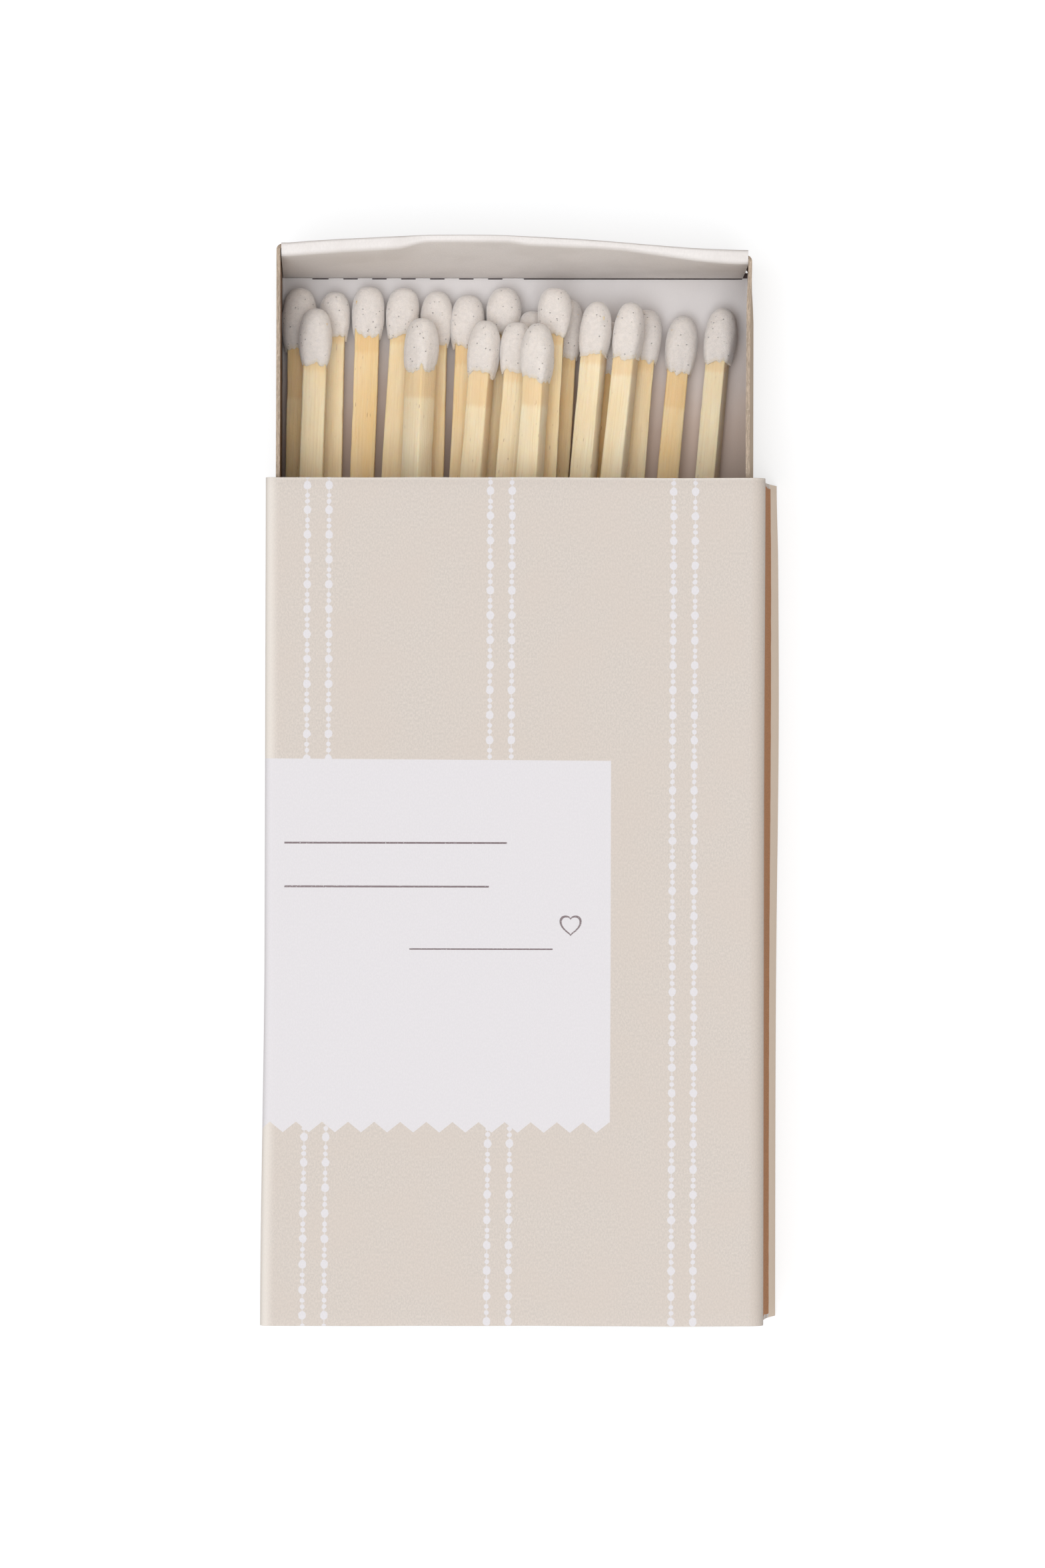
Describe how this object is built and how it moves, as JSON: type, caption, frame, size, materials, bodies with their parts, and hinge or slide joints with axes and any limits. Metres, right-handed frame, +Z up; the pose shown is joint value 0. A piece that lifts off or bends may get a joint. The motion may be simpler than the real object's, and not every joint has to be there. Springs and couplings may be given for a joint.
{
  "type": "matchbox",
  "caption": "Slide matchbox: a flat folded board sleeve with a striker strip along one side, and a folded tray of loose square wooden matches with round pale heads, pulled part of the way out.",
  "frame": {"origin": "on the back panel's outside, under the middle of the sleeve", "axes": "+X across the box towards the striker side, +Y along the box towards the end where the tray is pulled out, +Z up out of the front panel"},
  "size_m": [0.0661, 0.1401, 0.02],
  "materials": {
    "sleeve_board": "matte",
    "striker_coat": "rough, gritty",
    "tray_board": "matte, white lined inside",
    "match_wood": "bare, sawn",
    "head_composition": "matte, pitted"
  },
  "bodies": {
    "outer_sleeve": {"sleeve": "sleeve_board", "striker_strip": "striker_coat"},
    "loaded_tray": {"tray": "tray_board", "match_01_stick": "match_wood", "match_01_head": "head_composition", "match_02_stick": "match_wood", "match_02_head": "head_composition", "match_03_stick": "match_wood", "match_03_head": "head_composition", "match_04_stick": "match_wood", "match_04_head": "head_composition", "match_05_stick": "match_wood", "match_05_head": "head_composition", "match_06_stick": "match_wood", "match_06_head": "head_composition", "match_07_stick": "match_wood", "match_07_head": "head_composition", "match_08_stick": "match_wood", "match_08_head": "head_composition", "match_09_stick": "match_wood", "match_09_head": "head_composition", "match_10_stick": "match_wood", "match_10_head": "head_composition", "match_11_stick": "match_wood", "match_11_head": "head_composition", "match_12_stick": "match_wood", "match_12_head": "head_composition", "match_13_stick": "match_wood", "match_13_head": "head_composition", "match_14_stick": "match_wood", "match_14_head": "head_composition", "match_15_stick": "match_wood", "match_15_head": "head_composition", "match_16_stick": "match_wood", "match_16_head": "head_composition", "match_17_stick": "match_wood", "match_17_head": "head_composition", "match_18_stick": "match_wood", "match_18_head": "head_composition", "match_19_stick": "match_wood", "match_19_head": "head_composition", "match_20_stick": "match_wood", "match_20_head": "head_composition", "match_21_stick": "match_wood", "match_21_head": "head_composition"}
  },
  "joints": [
    {"name": "tray_slide", "type": "slide", "parent": "outer_sleeve", "child": "loaded_tray", "axis": [0, 1, 0], "range_m": [-0.0295, 0.0587]}
  ]
}
